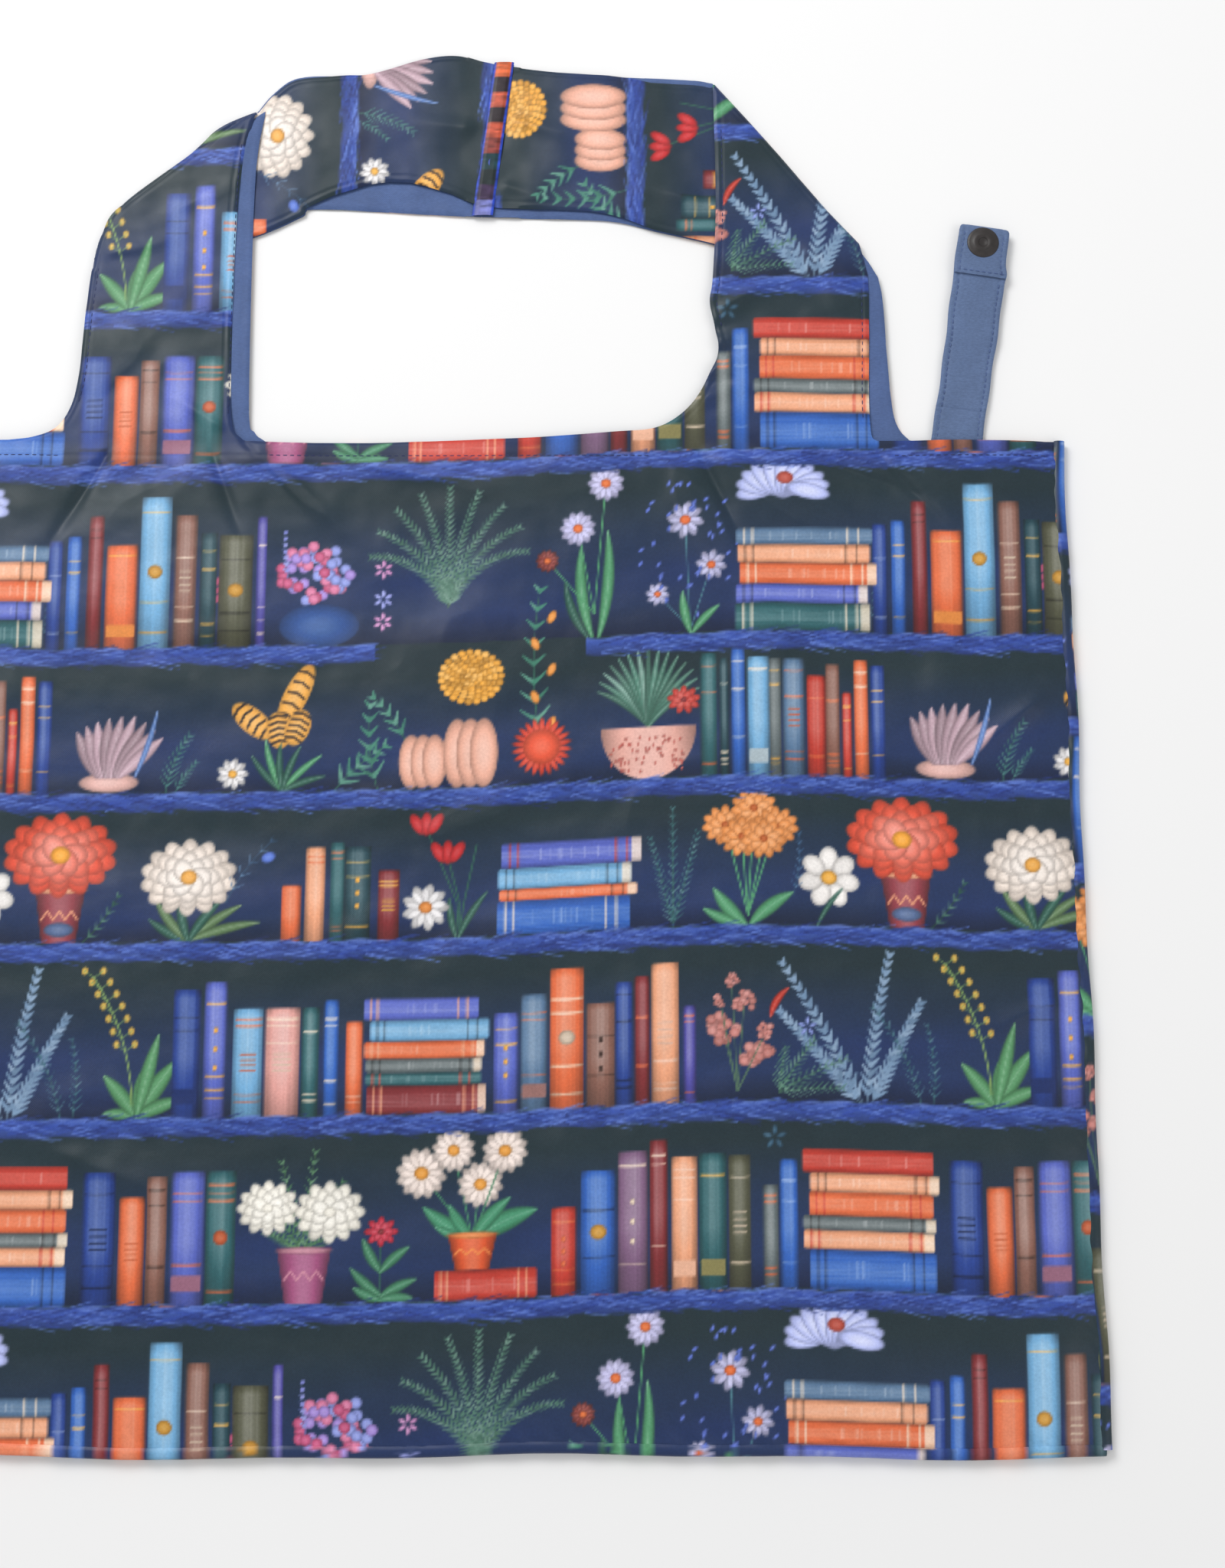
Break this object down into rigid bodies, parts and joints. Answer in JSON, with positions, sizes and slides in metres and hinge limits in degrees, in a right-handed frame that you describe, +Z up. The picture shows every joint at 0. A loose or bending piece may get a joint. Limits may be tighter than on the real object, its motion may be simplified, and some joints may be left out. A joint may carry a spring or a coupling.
{
  "type": "foldable tote bag",
  "caption": "Flat-folding cloth shopping tote with wide loop handles and a snap tab, lying empty and face up.",
  "frame": {"origin": "under the middle of the whole outline, handles included, on the surface that the bag lies on", "axes": "+X across the bag to the right, +Y from the bottom edge to the handles, +Z up out of the front face"},
  "size_m": [0.505, 0.6054, 0.0064],
  "materials": {
    "printed_cloth": "matt woven polyester with an all-over print",
    "blue_cloth": "matt woven polyester, plain denim blue",
    "snap": "satin dark plastic"
  },
  "bodies": {
    "body_upper": {"front_panel_upper": "printed_cloth", "back_panel_upper": "printed_cloth", "left_side_seam_upper": "printed_cloth", "right_side_seam_upper": "printed_cloth", "front_mouth_hem_left": "printed_cloth", "front_mouth_hem_centre": "printed_cloth", "front_mouth_hem_right": "printed_cloth", "back_mouth_hem_left": "printed_cloth", "back_mouth_hem_centre": "printed_cloth", "back_mouth_hem_right": "printed_cloth", "tab_anchor": "blue_cloth"},
    "body_middle": {"front_panel_middle": "printed_cloth", "back_panel_middle": "printed_cloth", "left_side_seam_middle": "printed_cloth", "right_side_seam_middle": "printed_cloth", "snap_stud": "snap", "snap_stud_cap": "snap"},
    "body_lower": {"front_panel_lower": "printed_cloth", "back_panel_lower": "printed_cloth", "left_side_seam_lower": "printed_cloth", "right_side_seam_lower": "printed_cloth", "bottom_seam": "printed_cloth"},
    "front_handle": {"front_handle_left_strap": "printed_cloth", "front_handle_right_strap": "printed_cloth", "front_handle_left_crown": "printed_cloth", "front_handle_right_crown": "printed_cloth", "front_handle_seam_band": "printed_cloth"},
    "back_handle": {"back_handle_left_strap": "printed_cloth", "back_handle_right_strap": "printed_cloth", "back_handle_left_crown": "printed_cloth", "back_handle_right_crown": "printed_cloth", "back_handle_seam_band": "printed_cloth"},
    "tab_root": {"tab_lower": "blue_cloth"},
    "tab_end": {"tab_upper": "blue_cloth", "tab_end_overfold": "blue_cloth", "snap_socket": "snap", "snap_socket_cap": "snap"}
  },
  "joints": [
    {"name": "handle_swing", "type": "hinge", "parent": "body_upper", "child": "front_handle", "pos_m": [0, 0.12225, 0.0055], "axis": [1, 0, 0], "range_deg": [0, 179.9]},
    {"name": "back_handle_swing", "type": "hinge", "parent": "body_upper", "child": "back_handle", "pos_m": [0, 0.12225, 0.0055], "axis": [1, 0, 0], "range_deg": [0, 179.9]},
    {"name": "middle_fold", "type": "hinge", "parent": "body_upper", "child": "body_middle", "pos_m": [0, -0.06275, 0.0125], "axis": [-1, 0, 0], "range_deg": [0, 179.9]},
    {"name": "lower_fold", "type": "hinge", "parent": "body_middle", "child": "body_lower", "pos_m": [0, -0.22775, 0.0068], "axis": [-1, 0, 0], "range_deg": [0, 179.9]},
    {"name": "tab_lift", "type": "hinge", "parent": "body_upper", "child": "tab_root", "pos_m": [0.2036, 0.12325, 0.0016], "axis": [1, 0, 0], "range_deg": [0, 90]},
    {"name": "tab_bend", "type": "hinge", "parent": "tab_root", "child": "tab_end", "pos_m": [0.2077, 0.15005, 0.0016], "axis": [1, 0, 0], "range_deg": [0, 90]}
  ],
  "couplings": [
    {"joint": "back_handle_swing", "follows": "handle_swing", "ratio": 1},
    {"joint": "lower_fold", "follows": "middle_fold", "ratio": 1},
    {"joint": "tab_bend", "follows": "tab_lift", "ratio": 1}
  ]
}
